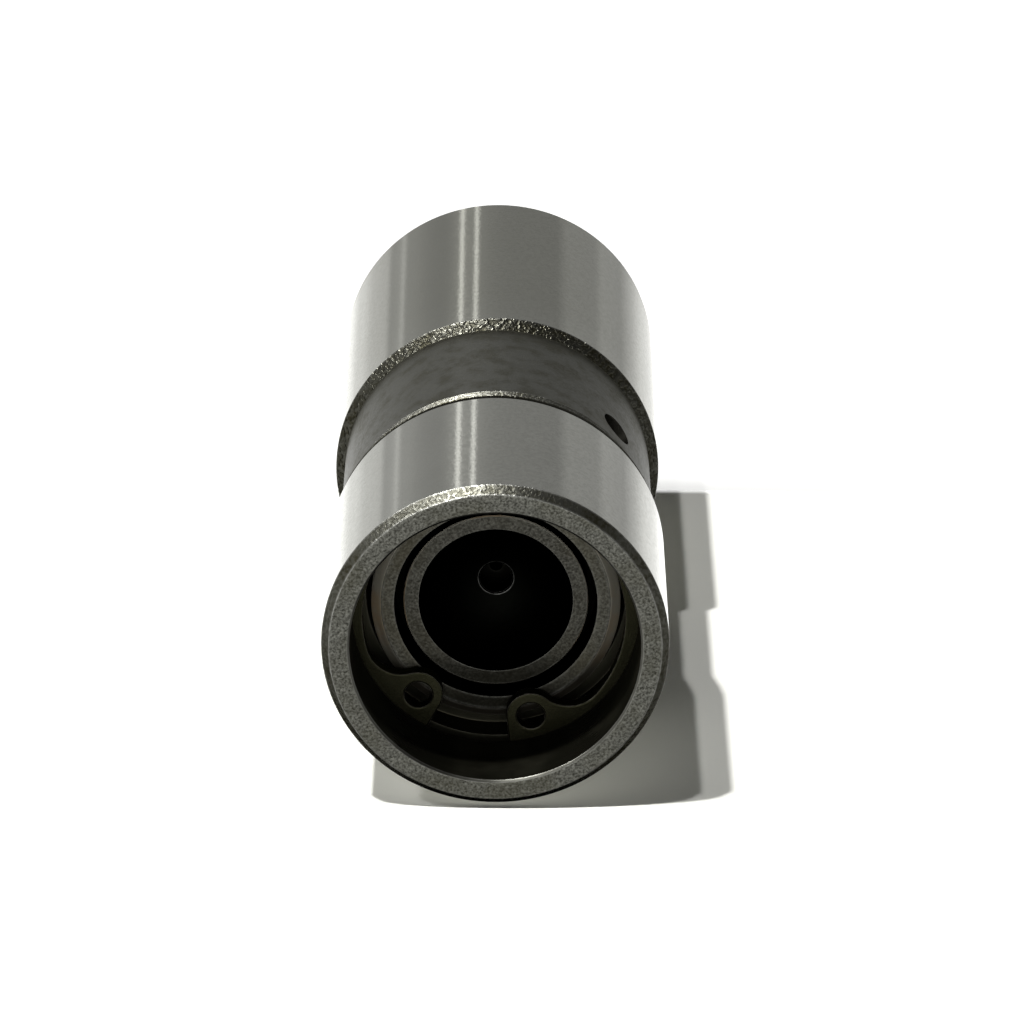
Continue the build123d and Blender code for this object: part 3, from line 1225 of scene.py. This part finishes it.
# The room that polished metal mirrors: even above, and lighter and darker by turns at the sides and below
roomValues = {
    "ambient": 0.016,
    "above": 0.80,
    "lowEdge": (-0.89, -0.78),
    "highEdge": (0.60, 0.85),
    # bearing and how bright the room looks that way, near the horizon
    "sides": [
        (-180, 0.02), (-156, 0.16), (-141, 0.50), (-123, 1.05), (-103, 1.0), (-80, 0.40), (-52, 0.14),
        (-30, 0.08), (0, 0.12), (30, 0.30), (60, 0.80), (80, 1.10), (103, 1.50), (123, 1.40), (141, 1.20),
        (156, 0.65), (168, 0.15), (180, 0.02),
    ],
    # the same down past the foot, by the place round the lands where it is mirrored
    "mirrorLine": 0.387,
    "levels": [
        (-90, 2.30), (-80, 2.09), (-70, 1.38), (-61, 1.08), (-56, 0.77), (-49, 0.46), (-43, 0.50),
        (-39.5, 0.52), (-36.5, 0.41), (-25, 0.44), (-21, 0.32), (-4, 0.34), (5, 0.37), (20, 0.33),
        (29, 0.35), (34.9, 0.42), (36.6, 0.74), (38.2, 0.51), (41.8, 0.45), (44.2, 0.74), (52, 0.83),
        (57, 1.10), (61, 1.14), (67, 1.77), (90, 2.70),
    ],
    # narrow bright edges: place, half width and level
    "strips": [(8.15, 1.3, 1.0), (13.4, 1.35, 0.95)],
    # the pale floor further off, which the sides mirror when they are seen level
    "floorLow": (-0.62, -0.50),
    "floorHigh": (-0.20, -0.04),
    "floorLevel": 0.5,
}


def levelRamp(tree, bearing, levels, limit):
    ramp = put(tree, "ShaderNodeValToRGB", {"Fac": spread(tree, bearing, -limit, limit)})
    stops = ramp.color_ramp.elements
    brightest = max(level for place, level in levels)
    while len(stops) < len(levels):
        stops.new(1.0)
    for stop, (place, level) in zip(stops, levels):
        stop.position = (place + limit) / (2 * limit)
        stop.color = grey(level / brightest)
    return maths(tree, "MULTIPLY", ramp.outputs["Color"], brightest)


def makeRoom(values):
    world = bpy.data.worlds.new("paleRoom")
    bpy.context.scene.world = world
    world.use_nodes = True
    world.cycles.sampling_method = "NONE"
    tree = world.node_tree
    rays = put(tree, "ShaderNodeLightPath").outputs
    way = axesOf(tree, put(tree, "ShaderNodeTexCoord").outputs["Generated"])
    forward = maths(tree, "MULTIPLY", way["Y"], -1.0)
    bearing = maths(tree, "DEGREES", maths(tree, "ARCTAN2", way["X"], forward))
    sides = levelRamp(tree, bearing, values["sides"], 180.0)
    slant = maths(tree, "ADD", forward, values["mirrorLine"])
    roundLands = maths(tree, "DEGREES", maths(tree, "ARCTAN2", way["X"], slant))
    below = levelRamp(tree, roundLands, values["levels"], 90.0)
    for place, halfWidth, level in values["strips"]:
        off = maths(tree, "ABSOLUTE", maths(tree, "SUBTRACT", roundLands, place))
        below = maths(tree, "ADD", below, spread(tree, off, halfWidth, 0.0, 0.0, level, smooth=True))
    floorFrom = spread(tree, way["Z"], *values["floorLow"], smooth=True)
    floorTo = spread(tree, way["Z"], *values["floorHigh"], 1.0, 0.0, smooth=True)
    sides = blendValues(tree, maths(tree, "MULTIPLY", floorFrom, floorTo), sides, values["floorLevel"])
    low = spread(tree, way["Z"], *values["lowEdge"], smooth=True)
    high = spread(tree, way["Z"], *values["highEdge"], smooth=True)
    mirrored = blendValues(tree, low, below, sides)
    mirrored = blendValues(tree, high, mirrored, values["above"])
    level = blendValues(tree, rays["Is Glossy Ray"], values["ambient"], mirrored)
    level = blendValues(tree, rays["Is Camera Ray"], level, 1.0)
    feed(tree, tree.nodes["Background"], {"Strength": level, "Color": grey(1)})
    print("room made")


makeRoom(roomValues)


# Camera: it looks down into the open end, with the foot at the top of the picture.
# Its angles are in degrees, from looking straight down with +Y at the top.
cameraValues = {
    "lens": 183.79,
    "place": (-0.457 * mm, -131.84 * mm, 344.063 * mm),
    "tilt": 22.783,
    "pan": 0.090,
    "roll": 180.447,
    "clip": (0.01, 20),
}


def makeCamera(values):
    data = bpy.data.cameras.new("camera")
    data.lens = values["lens"]
    data.clip_start, data.clip_end = values["clip"]
    camera = addObject("camera", data)
    turn = Matrix.Identity(4)
    for angle, axis in (("tilt", "X"), ("pan", "Y"), ("roll", "Z")):
        turn = turn @ Matrix.Rotation(math.radians(values[angle]), 4, axis)
    camera.matrix_world = Matrix.Translation(values["place"]) @ turn
    bpy.context.scene.camera = camera
    print("camera placed")


makeCamera(cameraValues)
bpy.context.scene.view_settings.view_transform = "Standard"

bpy.context.view_layer.update()
